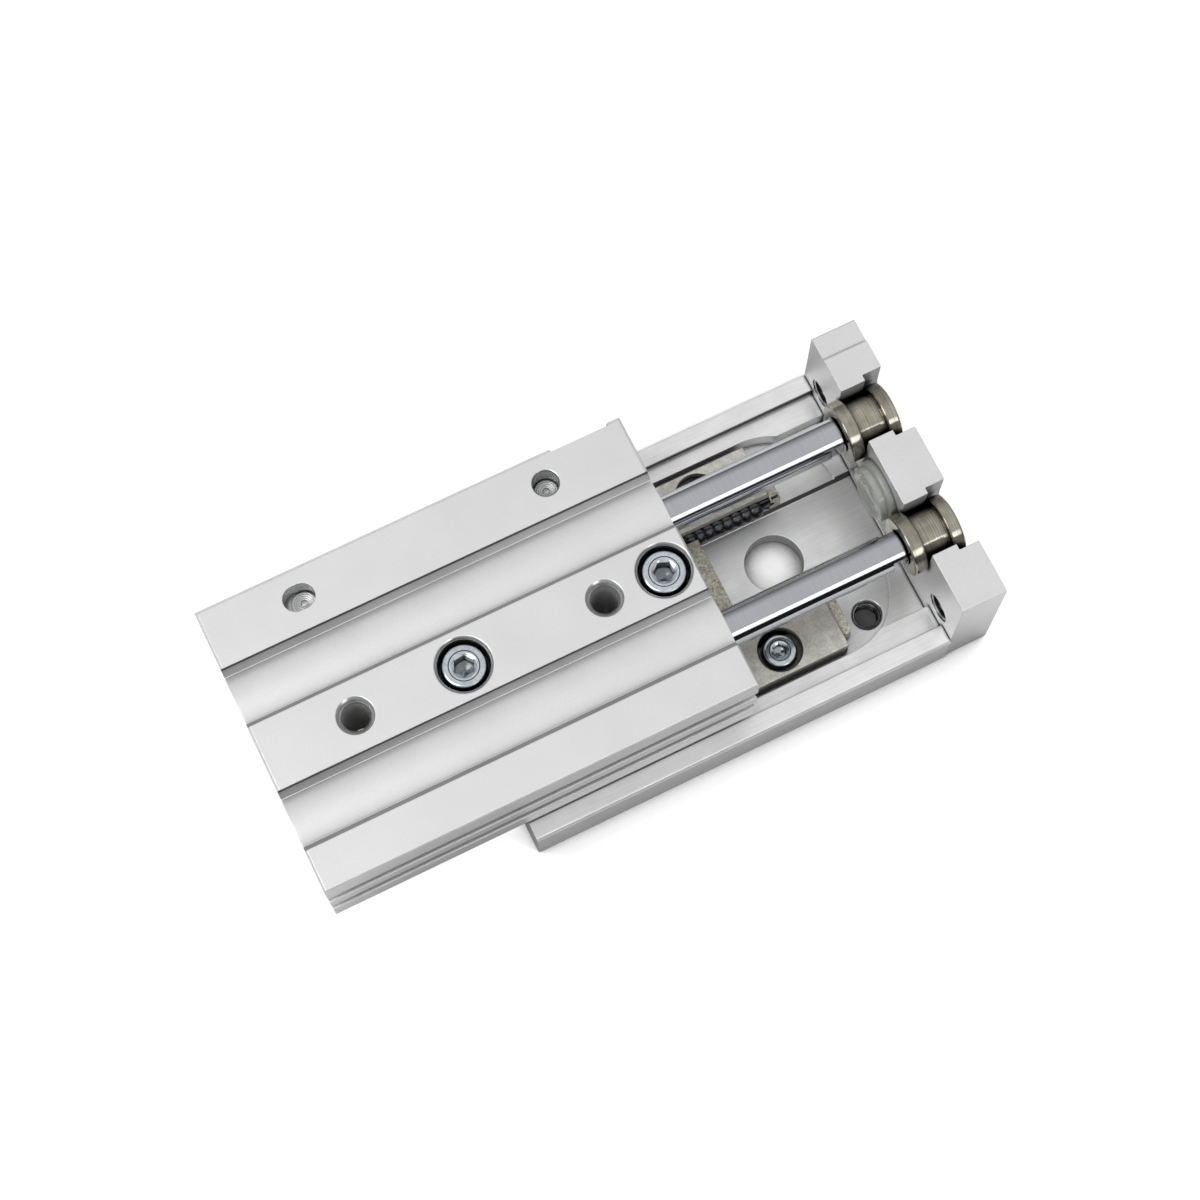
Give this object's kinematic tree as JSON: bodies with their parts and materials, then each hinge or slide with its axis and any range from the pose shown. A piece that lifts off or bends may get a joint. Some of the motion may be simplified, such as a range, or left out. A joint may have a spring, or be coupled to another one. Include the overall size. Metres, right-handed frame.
{
  "type": "pneumatic slide table",
  "caption": "Slim guided air slide: a flat table on a ball guide, driven by parallel rods from a grooved cylinder body through an upright end plate.",
  "frame": {"origin": "centre of the table's four workpiece holes, on the table's outer face", "axes": "+X along the stroke, towards the end plate; +Z from the table's outer face towards the body's mounting face; +Y towards the port side"},
  "size_m": [0.1111, 0.05, 0.0282],
  "materials": {
    "anodised_aluminium": "satin clear anodised",
    "rail_steel": "mottled ground steel",
    "block_steel": "warm grey ground steel",
    "zinc_steel": "bright zinc plate",
    "hard_chrome": "hard chrome, ground",
    "bush_steel": "turned, warm nickel tone",
    "bearing_steel": "polished",
    "black_steel": "phosphated",
    "gland_metal": "turned",
    "piston_aluminium": "turned",
    "cap_resin": "moulded",
    "return_resin": "moulded, mottled cream",
    "seal_rubber": "matt",
    "bumper_urethane": "translucent grey-green",
    "magnet_ferrite": "pressed"
  },
  "bodies": {
    "cylinder": {"cylinder_body": "anodised_aluminium", "guide_rail": "rail_steel", "rail_screws": "zinc_steel", "head_cap_far": "cap_resin", "head_cap_near": "cap_resin", "head_cap_seal_far": "seal_rubber", "head_cap_seal_near": "seal_rubber", "rear_ring_far": "black_steel", "rear_ring_near": "black_steel", "rod_gland_far": "gland_metal", "rod_gland_near": "gland_metal", "gland_seal_far": "seal_rubber", "gland_seal_near": "seal_rubber", "rod_seal_far": "seal_rubber", "rod_seal_near": "seal_rubber", "front_ring_far": "black_steel", "front_ring_near": "black_steel"},
    "table": {"table_plate": "anodised_aluminium", "end_plate": "anodised_aluminium", "end_plate_screws": "zinc_steel", "end_plate_dowels": "bearing_steel", "guide_block_screws": "zinc_steel", "end_bumper": "bumper_urethane", "guide_block_far": "block_steel", "guide_block_near": "block_steel", "return_plates_far": "return_resin", "return_plates_near": "return_resin", "guide_balls_far": "bearing_steel", "guide_balls_near": "bearing_steel", "ball_wire_far": "bearing_steel", "ball_wire_near": "bearing_steel", "piston_rod_far": "hard_chrome", "piston_rod_near": "hard_chrome", "piston_rear_far": "piston_aluminium", "piston_rear_near": "piston_aluminium", "piston_front_far": "piston_aluminium", "piston_front_near": "piston_aluminium", "piston_seal_far": "seal_rubber", "piston_seal_near": "seal_rubber", "piston_magnet_far": "magnet_ferrite", "piston_magnet_near": "magnet_ferrite", "rod_bumper_far": "bumper_urethane", "rod_bumper_near": "bumper_urethane", "floating_bush_far": "bush_steel", "floating_bush_near": "bush_steel"}
  },
  "joints": [
    {"name": "table_slide", "type": "slide", "parent": "cylinder", "child": "table", "axis": [1, 0, 0], "range_m": [-0.03, 0]}
  ]
}
